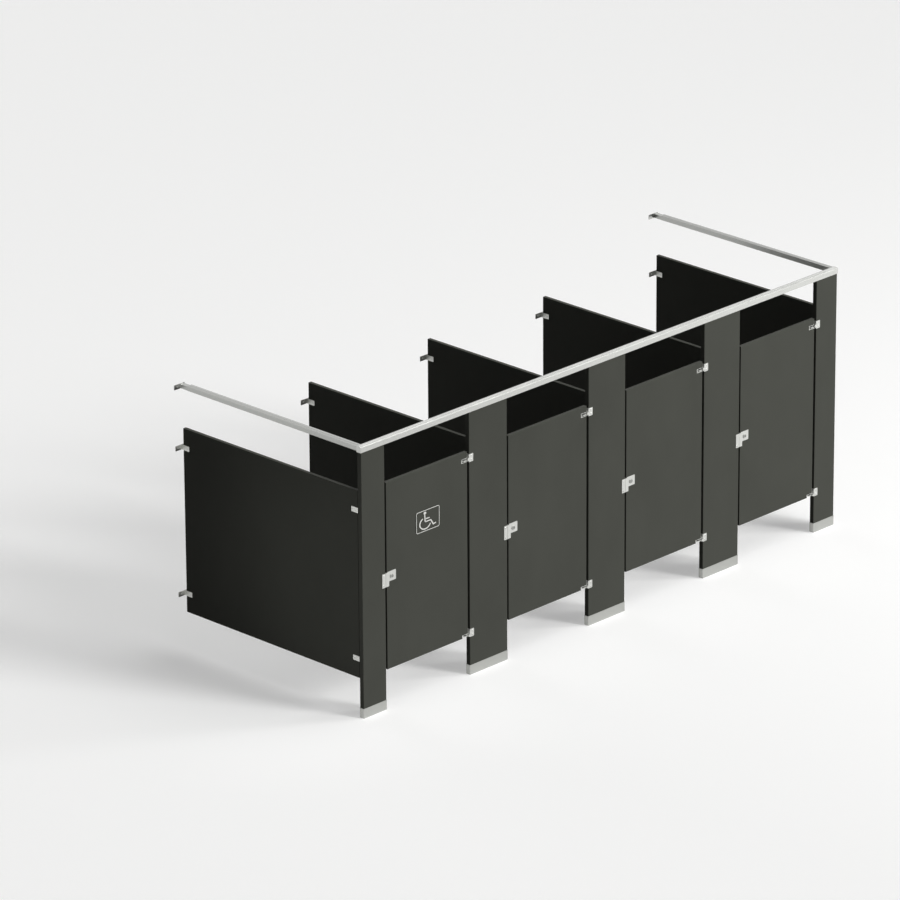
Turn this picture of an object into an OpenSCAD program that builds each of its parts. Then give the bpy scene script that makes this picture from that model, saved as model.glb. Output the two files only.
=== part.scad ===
// Row of four toilet stalls: floor-mounted, overhead-braced partitions with in-swing doors.
// X runs along the fronts, Y runs from the fronts to the wall, Z is up, and the floor is Z = 0.

/* [Layout] */
// Width of each door leaf
door_w = 846; // [600:1:950]
// Width of the three pilasters between the doors
pilaster_w = 400; // [300:1:600]
// Width of the pilaster at each end of the row
end_pilaster_w = 236; // [200:1:500]
// Gap between a door leaf and the pilaster beside it
door_gap = 18; // [14:0.5:22]
// Distance from the front of the pilasters to the wall
depth = 1880; // [1200:5:2400]
// Gap between the back edge of a panel and the wall
wall_gap = 20; // [12:1:30]

/* [Heights] */
// Gap between the floor and the doors and panels
floor_gap = 310; // [250:1:350]
// Height of the doors and panels
leaf_h = 1472; // [1300:1:1800]
// Underside of the front headrail above the floor
rail_z = 2086; // [2000:1:2300]
// How far a pilaster reaches up into the headrail
pilaster_in_rail = 18; // [10:1:30]
// Height of the shoe round the foot of a pilaster
shoe_h = 76; // [64:1:120]
// Height of the latch spindle above the floor
latch_z = 1038; // [850:1:1150]

/* [Boards] */
// Thickness of the pilasters
pilaster_t = 38; // [36:0.5:42]
// Thickness of the door leaves
door_t = 30; // [28:0.5:32]
// Thickness of the divider panels
panel_t = 30; // [20:0.5:36]
// How far the door faces are set back from the pilaster faces
door_setback = 3.5; // [3:0.1:5]
// Radius on all edges of the boards
board_edge_r = 2.5; // [1:0.5:5]

/* [Headrail] */
// Wall thickness of the headrail
rail_wall = 2.5; // [1.5:0.1:4]
// Height of the front headrail
rail_h = 46; // [44:1:60]
// Height of the side headrails, which hang level with the top of the front one
return_h = 38; // [36:1:43]
// Width of the side headrails
return_w = 44; // [36:1:60]
// Radius of the outer top edge of a headrail
rail_nose_r = 7; // [3:0.5:10]
// Height of the anti-grip ridge along the top of a headrail
ridge_h = 3.5; // [2:0.5:6]
// Width of the foot of that ridge
ridge_w = 12; // [8:1:16]
// Length of the wall socket that shows between a side headrail and the wall
socket_show = 80; // [50:1:120]
// How far a socket reaches into a headrail
socket_in = 32; // [20:1:60]
// Thickness of the end caps and socket walls
rail_fitting_t = 3; // [2:0.5:4]

/* [Brackets] */
// Height of a panel bracket
bracket_h = 40; // [34:1:60]
// Thickness of its ears
bracket_t = 3; // [2:0.5:5]
// Length of its ears along the panel
bracket_ear = 64; // [50:1:80]
// Reach of the wall ears to each side of the panel
wall_ear = 65; // [50:1:80]
// Thickness of the plate against the wall
wall_plate_t = 4; // [3:0.5:6]
// Distance from the top or bottom of a panel to the middle of its bracket
bracket_inset = 152; // [100:1:250]
// Radius of the rounded corners of plates and ears
plate_corner_r = 4; // [2:0.5:6]
// Radius of the holes for wall and floor anchors
anchor_hole_r = 4; // [3:0.5:5]

/* [Hinges] */
// Height of the hinge plate on a pilaster
hinge_h = 62; // [55:1:90]
// Reach of the hinge plate over the face of a pilaster
hinge_reach = 40; // [34:1:70]
// Thickness of the hinge plate
hinge_t = 3; // [2:0.5:4]
// Length of the notch in the door edge
notch_w = 61; // [50:1:90]
// Height of the notch of the top hinge
notch_h = 32; // [30:1:44]
// Height of the notch at the foot of the door
foot_notch_h = 27; // [24:1:40]
// Thickness of the metal that lines the notch
liner_t = 3; // [2:0.5:4]
// Distance from the top of the door to the middle of the top hinge
top_hinge_drop = 64; // [45:1:150]
// Distance from the edge of the door to its hinge pins
pivot_inset = 20; // [15:0.5:24]
// Width of the arms that carry the pins
arm_w = 24; // [18:1:28]
// Thickness of those arms
arm_t = 8; // [6:0.5:10]
// Radius of the hinge pins
hinge_pin_r = 5; // [4:0.25:6]
// Wall thickness of the nylon bushes
bush_wall = 3; // [2:0.25:4]

/* [Latch] */
// Width of the latch plate
latch_plate_w = 88; // [80:1:100]
// Height of the latch plate
latch_plate_h = 78; // [72:1:100]
// Height of the keeper
keeper_h = 110; // [100:1:140]
// Reach of the keeper over the face of a pilaster
keeper_reach = 33; // [32:1:60]
// How far the keeper laps the door
keeper_lap = 19; // [12:1:24]
// Thickness of the latch plates and the keeper
latch_sheet = 2.5; // [1.5:0.1:3]
// Radius of the outer turn
turn_r = 16; // [14:0.5:18]
// How far the outer turn stands out from its plate
turn_stand = 5; // [4:0.5:12]
// Radius of the crank that moves the bolt
crank_r = 18; // [17:0.25:19]

/* [Feet] */
// Radius of the levelling studs
stud_r = 6; // [5:0.5:8]
// Underside of the pilasters above the floor
pilaster_z = 54; // [50:1:60]
// Thickness of the floor plate
floor_plate_t = 6; // [4:0.5:8]
// Distance from the edge of a pilaster to its levelling stud
stud_inset = 60; // [50:1:66]

/* [Hidden] */

board_color = "#4c4d47";
metal_color = "#c8c9c4";
steel_color = "#9b9d9c";
nylon_color = "#303030";
rubber_color = "#2a2a2a";

// Clearances
running_gap = 0.06;
loose_gap = 0.3;
bolt_gap = 0.25;
eps = 0.01;

// The row: doors are numbered from 0 to 3 and pilasters from 0 to 4, left to right
doors = 4;
stall_pitch = door_w + 2 * door_gap + pilaster_w;
row_w = 2 * end_pilaster_w + doors * (door_w + 2 * door_gap) + (doors - 1) * pilaster_w;
function is_end(i) = i == 0 || i == doors;
function pilaster_width(i) = is_end(i) ? end_pilaster_w : pilaster_w;
function pilaster_x(i) = i == 0 ? 0 : end_pilaster_w + i * stall_pitch - pilaster_w;
function pilaster_right(i) = pilaster_x(i) + pilaster_width(i);
function door_x(i) = pilaster_right(i) + door_gap;
function panel_x(i) =
    i == 0 ? 0
    : i == doors ? row_w - panel_t
    : pilaster_x(i) + (pilaster_w - panel_t) / 2;

// Headrail
rail_lip = 0.5;
rail_y = -rail_wall - rail_lip;
rail_w = pilaster_t + 2 * (rail_wall + rail_lip);
rail_back = rail_y + rail_w;
rail_top = rail_z + rail_h;
return_z = rail_top - return_h;
rail_overhang = rail_wall + rail_lip;
return_end = depth - socket_show;
socket_w = return_w - 2 * rail_wall;
socket_h = return_h - rail_nose_r;
rail_flange_reach = wall_ear - rail_overhang;
pilaster_top = rail_z + pilaster_in_rail;

// Boards
panel_front = pilaster_t + bracket_t;
panel_back = depth - wall_gap;
leaf_top = floor_gap + leaf_h;
door_back = door_setback + door_t;
door_mid = door_setback + door_t / 2;

// Through bolts: a barrel with a low round head at each end
bolt_r = 3.5;
bolt_head_r = 7;
bolt_head_h = 2;
bracket_bolt_edge = 16;
wall_hole_out = wall_ear * 0.6;
bracket_levels = [floor_gap + bracket_inset, leaf_top - bracket_inset];

// Hinges: in the top notch the arm lies between the flanges of two bushes, and under the door
// the flange of one bush stands on the arm
top_hinge_z = leaf_top - top_hinge_drop;
top_plate_rise = 9;
bottom_plate_rise = 26;
hinge_plate_levels = [top_hinge_z + top_plate_rise, floor_gap + bottom_plate_rise];
bush_r = hinge_pin_r + bush_wall;
bush_flange_out = 2;
bush_flange_r = bush_r + bush_flange_out;
bush_flange_h = 2;
bush_barrel_h = 15;
top_notch_low = top_hinge_z - notch_h / 2 + liner_t;
top_notch_high = top_hinge_z + notch_h / 2 - liner_t;
bottom_notch_high = floor_gap + foot_notch_h - liner_t;
bottom_arm_rise = 2;
top_arm_z = top_notch_low + bush_flange_h + loose_gap;
bottom_arm_z = floor_gap + bottom_arm_rise;
tab_gap = 2;
tab_h = top_notch_high - loose_gap - top_arm_z;
pin_end_gap = 1;
hinge_bolt_shift = 4;
hinge_bolt_x = hinge_reach / 2 + hinge_bolt_shift;
hinge_bolt_edge = 15;
hinge_bolt_dz = hinge_h / 2 - hinge_bolt_edge;

// Latch: a crank on the spindle drives the bolt by a pin in an upright slot
turn_x = 48;
latch_plate_x = 5;
hub_r = 8;
spindle_r = 4;
crank_t = 4;
crank_pin_r = 3;
crank_eye_r = crank_pin_r + 2;
crank_angle = 45;
pin_slot_gap = 0.7;
case_t = 16;
case_wall = 1.5;
case_w = 78;
case_below = 16;
case_above = 29;
case_front_w = 23;
case_front_over = 10;
bolt_h = 17;
bolt_t = 7.8;
bolt_set = 1;
bolt_tail = 9;
bolt_edge = 2;
bolt_low = crank_r * cos(crank_angle) - crank_pin_r - pin_slot_gap - bolt_edge;
bolt_hole_gap = 0.3;
case_y = door_mid - case_t / 2;
crank_y = case_y + case_wall + 0.5;
bolt_y = crank_y + crank_t + loose_gap;
latch_plate_front = door_setback - latch_sheet;
turn_front = latch_plate_front - turn_stand;
turn_back = door_back + latch_sheet + loose_gap;
thumb_l = 56;
thumb_w = 14;
thumb_t = 15;
turn_rim = 2;
turn_floor = 1.1;
coin_slot_w = 2.5;
coin_slot_depth = 2.2;
latch_plate_rise = 4;
latch_plate_z = latch_z - latch_plate_h / 2 + latch_plate_rise;
latch_plate_top = latch_plate_z + latch_plate_h;
keeper_drop = 4;
keeper_z = latch_plate_top - keeper_drop - keeper_h;
keeper_slot_gap = 1.2;
keeper_pocket = 14;
keeper_groove_w = 4;
keeper_groove_depth = 1.6;
keeper_bolt_dz = 16;
keeper_bolt_shift = 3;
bumper_gap = 0.3;
bumper_inset = 3;

// Feet
bar_t = 12;
nut_h = 10;
nut_r = 11;
foot_w = 28;
foot_y = (pilaster_t - foot_w) / 2;
foot_inset = 36;
stud_top = pilaster_z + 44;
anchor_inset = 90;
shoe_out = 3;
shoe_wall = 1.5;
shoe_rim_h = 2;
screw_r = 2.5;
screw_head_r = 5;
screw_head_h = 2;
screw_l = 20;
rail_screw_inset = 50;
shoe_screw_inset = 30;
shoe_screw_z = (pilaster_z + shoe_h - shoe_rim_h) / 2;

y_mid = (depth + min(turn_front, -hinge_t - bolt_head_h)) / 2;

// A rectangle with round corners, lowest corner at the origin
module round_rect(w, d, r) {
    translate([r, 0]) square([w - 2 * r, d]);
    translate([0, r]) square([w, d - 2 * r]);
    for (x = [r, w - r], y = [r, d - r])
        translate([x, y]) circle(r, $fn = 32);
}

// Moves a piece from the row's own corner to the shared origin
module in_row() {
    translate([-row_w / 2, -y_mid, 0]) children();
}

// A cylinder along Y from y0 to y1
module y_rod(x, z, y0, y1, r, fn = 32) {
    translate([x, y1, z]) rotate([90, 0, 0]) cylinder(h = y1 - y0, r = r, $fn = fn);
}

// A cylinder along X from x0 to x1
module x_rod(y, z, x0, x1, r, fn = 32) {
    translate([x0, y, z]) rotate([0, 90, 0]) cylinder(h = x1 - x0, r = r, $fn = fn);
}

// A cylinder along Z from z0 to z1
module z_rod(x, y, z0, z1, r, fn = 32) {
    translate([x, y, z0]) cylinder(h = z1 - z0, r = r, $fn = fn);
}

// A plate in the XZ plane with round corners
module face_plate(x, z, w, h, y0, y1, r) {
    translate([x, y1, z]) rotate([90, 0, 0]) linear_extrude(y1 - y0) round_rect(w, h, r);
}

// A plate in the YZ plane with round corners
module side_plate(y, z, w, h, x0, x1, r) {
    translate([x0, y, z]) rotate([90, 0, 90]) linear_extrude(x1 - x0) round_rect(w, h, r);
}

// A board standing on its lowest corner, with all its edges round
module board(w, d, h) {
    intersection() {
        linear_extrude(h) round_rect(w, d, board_edge_r);
        face_plate(0, 0, w, h, 0, d, board_edge_r);
        side_plate(0, 0, d, h, 0, w, board_edge_r);
    }
}

// Section of a sheet bent round the edge of a board. The edge is at 0, the faces of the board
// are at 0 and d, and the bends are round outside.
module wrap_section(reach, d, t) {
    difference() {
        union() {
            translate([0, -t]) square([reach, d + 2 * t]);
            translate([-t, 0]) square([t, d]);
            for (y = [0, d])
                translate([0, y]) circle(t, $fn = 32);
        }
        square([reach + 1, d]);
    }
}

// Such a sheet, h high, with round free corners
module wrap(reach, d, t, h) {
    intersection() {
        linear_extrude(h) wrap_section(reach, d, t);
        face_plate(
            -t - 2 * plate_corner_r, 0, reach + t + 2 * plate_corner_r, h,
            -t - 1, d + t + 1, plate_corner_r
        );
    }
}

// Heights of the two through bolts of the hinge and keeper on a pilaster
hinge_bolt_levels = [
    for (z = hinge_plate_levels, s = [-1, 1]) z + s * hinge_bolt_dz
];
keeper_bolt_levels = [keeper_z + keeper_bolt_dz, keeper_z + keeper_h - keeper_bolt_dz];
keeper_bolt_x = keeper_reach / 2 + keeper_bolt_shift;
bolt_mid_z = latch_z + bolt_low + bolt_h / 2;

// The hole for the latch bolt, from x0 to x1, in a keeper and the edge of its pilaster
module keeper_hole(x0, x1) {
    translate([x0, bolt_y - keeper_slot_gap, bolt_mid_z - bolt_h / 2 - keeper_slot_gap])
        cube([x1 - x0, bolt_t + 2 * keeper_slot_gap, bolt_h + 2 * keeper_slot_gap]);
}

function stud_places(i) = [pilaster_x(i) + stud_inset, pilaster_right(i) - stud_inset];
function anchor_places(i) = [pilaster_x(i) + anchor_inset, pilaster_right(i) - anchor_inset];
function rail_screw_places(i) =
    [pilaster_x(i) + rail_screw_inset, pilaster_right(i) - rail_screw_inset];
function shoe_screw_places(i) =
    [pilaster_x(i) + shoe_screw_inset, pilaster_right(i) - shoe_screw_inset];
rail_screw_z = rail_z + pilaster_in_rail / 2;

module pilaster(i) {
    x = pilaster_x(i);
    right = pilaster_right(i);
    color(board_color) in_row() difference() {
        translate([x, 0, pilaster_z]) board(right - x, pilaster_t, pilaster_top - pilaster_z);
        for (sx = stud_places(i))
            z_rod(sx, pilaster_t / 2, pilaster_z - 1, stud_top + 2, stud_r + 1);
        for (sx = rail_screw_places(i))
            y_rod(sx, rail_screw_z, pilaster_t - screw_l, pilaster_t + 1, screw_r);
        for (sx = shoe_screw_places(i))
            y_rod(sx, shoe_screw_z, pilaster_t - screw_l, pilaster_t + 1, screw_r);
        if (i > 0)
            for (z = hinge_bolt_levels)
                y_rod(x + hinge_bolt_x, z, -1, pilaster_t + 1, bolt_r + bolt_gap);
        if (i < doors) {
            for (z = keeper_bolt_levels)
                y_rod(right - keeper_bolt_x, z, -1, pilaster_t + 1, bolt_r + bolt_gap);
            keeper_hole(right - keeper_pocket, right + 1);
        }
    }
}

module shoe(i) {
    x = pilaster_x(i) - shoe_out;
    w = pilaster_width(i) + 2 * shoe_out;
    d = pilaster_t + 2 * shoe_out;
    r = board_edge_r + shoe_out;
    color(metal_color) in_row() difference() {
        translate([x, -shoe_out, 0]) linear_extrude(shoe_h) round_rect(w, d, r);
        translate([x + shoe_wall, shoe_wall - shoe_out, -1])
            linear_extrude(shoe_h - shoe_rim_h + 1)
                round_rect(w - 2 * shoe_wall, d - 2 * shoe_wall, r - shoe_wall);
        translate([x + shoe_out - loose_gap, -loose_gap, shoe_h - shoe_rim_h - 1])
            linear_extrude(shoe_rim_h + 2)
                round_rect(
                    w - 2 * (shoe_out - loose_gap),
                    d - 2 * (shoe_out - loose_gap),
                    board_edge_r + loose_gap
                );
        for (sx = shoe_screw_places(i))
            y_rod(sx, shoe_screw_z, pilaster_t, pilaster_t + shoe_out + 1, screw_r);
    }
}

// Through bolts of one panel, at its pilaster and at the wall
panel_bolt_places = [
    pilaster_t + bracket_ear - bracket_bolt_edge,
    pilaster_t + bracket_t + bracket_bolt_edge,
    depth - wall_gap - bracket_ear + bracket_bolt_edge,
    depth - wall_gap - bracket_bolt_edge
];

module panel(i) {
    x = panel_x(i);
    color(board_color) in_row() difference() {
        translate([x, panel_front, floor_gap]) board(panel_t, panel_back - panel_front, leaf_h);
        for (y = panel_bolt_places, z = bracket_levels)
            x_rod(y, z, x - 1, x + panel_t + 1, bolt_r + bolt_gap);
    }
}

// Section of a headrail's channel, with a round outer top edge.
// The outer face is at 0 and the open side is down.
module rail_section(w, h) {
    difference() {
        union() {
            square([w, h - rail_nose_r]);
            translate([rail_nose_r, 0]) square([w - rail_nose_r, h]);
            translate([rail_nose_r, h - rail_nose_r]) circle(rail_nose_r, $fn = 48);
        }
        translate([rail_wall, -1]) square([w - 2 * rail_wall, h - rail_nose_r + 1]);
        translate([rail_nose_r, -1]) square([w - rail_nose_r - rail_wall, h - rail_wall + 1]);
        translate([rail_nose_r, h - rail_nose_r])
            circle(rail_nose_r - rail_wall, $fn = 48);
    }
}

// A length of headrail, with its anti-grip ridge along the middle of the top
module rail_length(w, h, l) {
    linear_extrude(l) rail_section(w, h);
    linear_extrude(l)
        translate([w / 2, h])
            polygon([
                [-ridge_w / 2, -rail_wall / 2], [-ridge_w / 5, ridge_h],
                [ridge_w / 5, ridge_h], [ridge_w / 2, -rail_wall / 2]
            ]);
}

module headrail_front() {
    color(metal_color) in_row() difference() {
        translate([-rail_overhang, rail_y, rail_z])
            rotate([90, 0, 90])
                rail_length(rail_w, rail_h, row_w + 2 * rail_overhang);
        for (i = [0:doors], sx = rail_screw_places(i))
            y_rod(sx, rail_screw_z, pilaster_t, rail_back + 1, screw_r);
    }
}

// A side headrail: its outer face looks away from the row
module headrail_return(outer_x, side) {
    color(metal_color) in_row()
        translate([outer_x, return_end, return_z])
            mirror([side > 0 ? 1 : 0, 0, 0])
                rotate([90, 0, 0])
                    rail_length(return_w, return_h, return_end - rail_back);
}

module headrail_left() {
    headrail_return(-rail_overhang, -1);
}

module headrail_right() {
    headrail_return(row_w + rail_overhang, 1);
}

// A plate with the headrail's outline closes each end of the front channel
module headrail_end_caps() {
    color(metal_color) in_row()
        for (x = [-rail_overhang - rail_fitting_t, row_w + rail_overhang])
            translate([x, rail_y, rail_z])
                rotate([90, 0, 90])
                    linear_extrude(rail_fitting_t) {
                        square([rail_w, rail_h - rail_nose_r]);
                        translate([rail_nose_r, 0]) square([rail_w - rail_nose_r, rail_h]);
                        translate([rail_nose_r, rail_h - rail_nose_r])
                            circle(rail_nose_r, $fn = 48);
                    }
}

// A square tube that fits in a side headrail, from y0 to y1, with its lowest corner at x
module rail_socket(x, y0, y1) {
    t = rail_fitting_t;
    difference() {
        translate([x, y0, return_z]) cube([socket_w, y1 - y0, socket_h]);
        translate([x + t, y0 - 1, return_z + t])
            cube([socket_w - 2 * t, y1 - y0 + 2, socket_h - 2 * t]);
    }
}

socket_places = [rail_wall - rail_overhang, row_w + rail_overhang - return_w + rail_wall];

module headrail_corner_sockets() {
    color(steel_color) in_row()
        for (x = socket_places) {
            rail_socket(x, rail_back, rail_back + socket_in);
            translate([x + eps, rail_back, return_z + eps])
                cube([socket_w - 2 * eps, rail_fitting_t, socket_h - 2 * eps]);
        }
}

// Each wall bracket is a socket on a plate with one ear, which points to the left on both
module headrail_wall_brackets() {
    color(metal_color) in_row()
        for (x = socket_places) {
            rail_socket(x, return_end - socket_in, depth - wall_plate_t);
            difference() {
                face_plate(
                    x - rail_wall - rail_flange_reach, return_z,
                    rail_flange_reach + return_w, return_h,
                    depth - wall_plate_t, depth, plate_corner_r
                );
                y_rod(
                    x - rail_wall - rail_flange_reach / 2, return_z + return_h / 2,
                    depth - wall_plate_t - 1, depth + 1, anchor_hole_r
                );
            }
        }
}

// A wall bracket: a plate with two ears that hold the panel's back edge between them
module panel_wall_bracket(x, z) {
    leg_y = panel_back - bracket_ear;
    difference() {
        union() {
            face_plate(
                x - wall_ear, z - bracket_h / 2, panel_t + 2 * wall_ear, bracket_h,
                depth - wall_plate_t, depth, plate_corner_r
            );
            for (leg_x = [x - bracket_t, x + panel_t])
                intersection() {
                    side_plate(
                        leg_y, z - bracket_h / 2,
                        depth - leg_y + 2 * plate_corner_r, bracket_h,
                        leg_x, leg_x + bracket_t, plate_corner_r
                    );
                    translate([leg_x - 1, leg_y - 1, z - bracket_h])
                        cube([bracket_t + 2, depth - leg_y + 1, 2 * bracket_h]);
                }
        }
        for (hole_x = [x - wall_hole_out, x + panel_t + wall_hole_out])
            y_rod(hole_x, z, depth - wall_plate_t - 1, depth + 1, anchor_hole_r);
        for (y = [panel_bolt_places[2], panel_bolt_places[3]])
            x_rod(y, z, x - bracket_t - 1, x + panel_t + bracket_t + 1, bolt_r + bolt_gap);
    }
}

module panel_wall_brackets() {
    color(metal_color) in_row()
        for (i = [0:doors], z = bracket_levels)
            panel_wall_bracket(panel_x(i), z);
}

// A pilaster bracket: a channel whose web sits between the pilaster and the panel
module panel_pilaster_bracket(x, z) {
    difference() {
        translate([x + panel_t, panel_front, z - bracket_h / 2])
            rotate([0, 0, 90])
                wrap(bracket_ear - bracket_t, panel_t, bracket_t, bracket_h);
        for (y = [panel_bolt_places[0], panel_bolt_places[1]])
            x_rod(y, z, x - bracket_t - 1, x + panel_t + bracket_t + 1, bolt_r + bolt_gap);
    }
}

module panel_pilaster_brackets() {
    color(metal_color) in_row()
        for (i = [0:doors], z = bracket_levels)
            panel_pilaster_bracket(panel_x(i), z);
}

// Through bolt along X between two outer faces
module x_bolt(y, z, x0, x1) {
    x_rod(y, z, x0, x1, bolt_r);
    x_rod(y, z, x0 - bolt_head_h, x0, bolt_head_r);
    x_rod(y, z, x1, x1 + bolt_head_h, bolt_head_r);
}

// Through bolt along Y between two outer faces
module y_bolt(x, z, y0, y1) {
    y_rod(x, z, y0, y1, bolt_r);
    y_rod(x, z, y0 - bolt_head_h, y0, bolt_head_r);
    y_rod(x, z, y1, y1 + bolt_head_h, bolt_head_r);
}

module panel_bolts() {
    color(metal_color) in_row()
        for (i = [0:doors], y = panel_bolt_places, z = bracket_levels)
            x_bolt(y, z, panel_x(i) - bracket_t, panel_x(i) + panel_t + bracket_t);
}

// Hinge bracket: a sheet round the pilaster's edge, a tab across the gap beside the door and an
// arm with a round end that carries the pin. x is the edge of the pilaster, z the middle of the
// sheet and arm_z the underside of the tab and the arm. The tab is tab_low high beside the door
// and tab_h high beside the pilaster.
module hinge_bracket(x, z, arm_z, tab_low) {
    pin_x = x - door_gap - pivot_inset;
    tab_w = door_gap - tab_gap;
    arm_back = door_mid + arm_w / 2;
    difference() {
        union() {
            translate([x, 0, z - hinge_h / 2])
                wrap(hinge_reach, pilaster_t, hinge_t, hinge_h);
            translate([x, arm_back, arm_z])
                rotate([90, 0, 0])
                    linear_extrude(arm_back + hinge_t)
                        polygon([[0, 0], [-tab_w, 0], [-tab_w, tab_low], [0, tab_h]]);
            translate([pin_x, arm_back - arm_w, arm_z]) cube([x - pin_x, arm_w, arm_t]);
            z_rod(pin_x, door_mid, arm_z, arm_z + arm_t, arm_w / 2);
        }
        z_rod(pin_x, door_mid, arm_z - 1, arm_z + arm_t + 1, hinge_pin_r);
        for (s = [-1, 1])
            y_rod(
                x + hinge_bolt_x, z + s * hinge_bolt_dz,
                -hinge_t - 1, pilaster_t + hinge_t + 1, bolt_r + bolt_gap
            );
    }
}

module top_hinge_brackets() {
    color(metal_color) in_row()
        for (i = [1:doors])
            hinge_bracket(pilaster_x(i), hinge_plate_levels[0], top_arm_z, tab_h);
}

module bottom_hinge_brackets() {
    color(metal_color) in_row()
        for (i = [1:doors])
            hinge_bracket(pilaster_x(i), hinge_plate_levels[1], bottom_arm_z, arm_t);
}

function pivot_x(i) = door_x(i) + door_w - pivot_inset;
pin_in_bush = bush_barrel_h - pin_end_gap;

module hinge_pins() {
    color(steel_color) in_row()
        for (i = [0:doors - 1]) {
            z_rod(
                pivot_x(i), door_mid,
                top_notch_low - pin_in_bush, top_notch_high + pin_in_bush, hinge_pin_r
            );
            z_rod(
                pivot_x(i), door_mid, bottom_arm_z, bottom_notch_high + pin_in_bush, hinge_pin_r
            );
        }
}

module hinge_bolts() {
    color(metal_color) in_row()
        for (i = [1:doors], z = hinge_bolt_levels)
            y_bolt(pilaster_x(i) + hinge_bolt_x, z, -hinge_t, pilaster_t + hinge_t);
}

// Keeper: a channel round the pilaster's edge whose front leaf runs on as the door stop
module keeper(x) {
    lip_x = x + door_gap + keeper_lap;
    difference() {
        union() {
            translate([x, 0, keeper_z])
                mirror([1, 0, 0]) wrap(keeper_reach, pilaster_t, latch_sheet, keeper_h);
            face_plate(
                x - 2 * plate_corner_r, keeper_z, lip_x - x + 2 * plate_corner_r, keeper_h,
                -latch_sheet, 0, plate_corner_r
            );
        }
        keeper_hole(x - 1, x + latch_sheet + 1);
        translate([x, -latch_sheet - 1, keeper_z - 1])
            cube([keeper_groove_w, 1 + keeper_groove_depth, keeper_h + 2]);
        for (z = keeper_bolt_levels)
            y_rod(
                x - keeper_bolt_x, z, -latch_sheet - 1, pilaster_t + latch_sheet + 1,
                bolt_r + bolt_gap
            );
    }
}

module keepers() {
    color(metal_color) in_row()
        for (i = [0:doors - 1])
            keeper(pilaster_right(i));
}

// A rubber pad under the stop, below the latch plate, takes the closing door
module keeper_bumpers() {
    color(rubber_color) in_row()
        for (i = [0:doors - 1])
            face_plate(
                door_x(i) + bumper_inset, keeper_z + bumper_inset,
                keeper_lap - 2 * bumper_inset, keeper_h - latch_plate_h - 2 * bumper_inset,
                0, door_setback - bumper_gap, 2
            );
}

module keeper_bolts() {
    color(metal_color) in_row()
        for (i = [0:doors - 1], z = keeper_bolt_levels)
            y_bolt(
                pilaster_right(i) - keeper_bolt_x, z, -latch_sheet, pilaster_t + latch_sheet
            );
}

// Floor plate with two studs and two anchor holes, hidden by the shoe
module levelling_feet() {
    color(steel_color) in_row()
        for (i = [0:doors]) {
            difference() {
                translate([pilaster_x(i) + foot_inset, foot_y, 0])
                    cube([pilaster_width(i) - 2 * foot_inset, foot_w, floor_plate_t]);
                for (x = anchor_places(i))
                    z_rod(x, pilaster_t / 2, -1, floor_plate_t + 1, anchor_hole_r);
            }
            for (x = stud_places(i))
                z_rod(x, pilaster_t / 2, floor_plate_t - eps, stud_top, stud_r);
        }
}

module levelling_nuts() {
    color(steel_color) in_row()
        for (i = [0:doors], x = stud_places(i))
            difference() {
                z_rod(
                    x, pilaster_t / 2, pilaster_z - bar_t - nut_h, pilaster_z - bar_t,
                    nut_r, 6
                );
                z_rod(x, pilaster_t / 2, 0, pilaster_z, stud_r);
            }
}

// Steel bar under each pilaster, which stands on the nuts
module levelling_bars() {
    color(steel_color) in_row()
        for (i = [0:doors])
            difference() {
                translate([pilaster_x(i) + foot_inset, foot_y, pilaster_z - bar_t])
                    cube([pilaster_width(i) - 2 * foot_inset, foot_w, bar_t]);
                for (x = stud_places(i))
                    z_rod(x, pilaster_t / 2, 0, pilaster_z + 1, stud_r);
            }
}

// A screw into the back of a pilaster, whose head lies on the face at y
module trim_screw(x, y, z) {
    y_rod(x, z, pilaster_t - screw_l, y, screw_r);
    y_rod(x, z, y, y + screw_head_h, screw_head_r);
}

// Screws through the back of the shoes and of the headrail
module trim_screws() {
    color(metal_color) in_row()
        for (i = [0:doors]) {
            for (x = rail_screw_places(i)) trim_screw(x, rail_back, rail_screw_z);
            for (x = shoe_screw_places(i)) trim_screw(x, pilaster_t + shoe_out, shoe_screw_z);
        }
}

// Bolt shaft and crank places for a door: the crank leans to the hinge side when open
function crank_pin_x(i) = door_x(i) + turn_x + crank_r * sin(crank_angle);

module latch_pocket(i) {
    x = door_x(i);
    translate([x - 1, case_y, latch_z - case_below])
        cube([case_w + 1 + latch_sheet, case_t, case_below + case_above]);
    translate([x - 1, door_mid - case_front_w / 2, latch_z - case_below - case_front_over])
        cube([
            1 + latch_sheet, case_front_w, case_below + case_above + 2 * case_front_over
        ]);
    y_rod(x + turn_x, latch_z, door_setback - 1, door_back + 1, hub_r + 1);
}

module door(i) {
    x = door_x(i);
    notch_x = x + door_w - notch_w;
    color(board_color) in_row() difference() {
        translate([x, door_setback, floor_gap]) board(door_w, door_t, leaf_h);
        translate([notch_x, 0, top_hinge_z - notch_h / 2])
            cube([notch_w + 1, 2 * door_back, notch_h]);
        translate([notch_x, 0, floor_gap - 1])
            cube([notch_w + 1, 2 * door_back, foot_notch_h + 1]);
        z_rod(
            pivot_x(i), door_mid,
            top_notch_low - bush_barrel_h, top_notch_high + bush_barrel_h, bush_r
        );
        z_rod(pivot_x(i), door_mid, floor_gap, bottom_notch_high + bush_barrel_h, bush_r);
        latch_pocket(i);
    }
}

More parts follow.
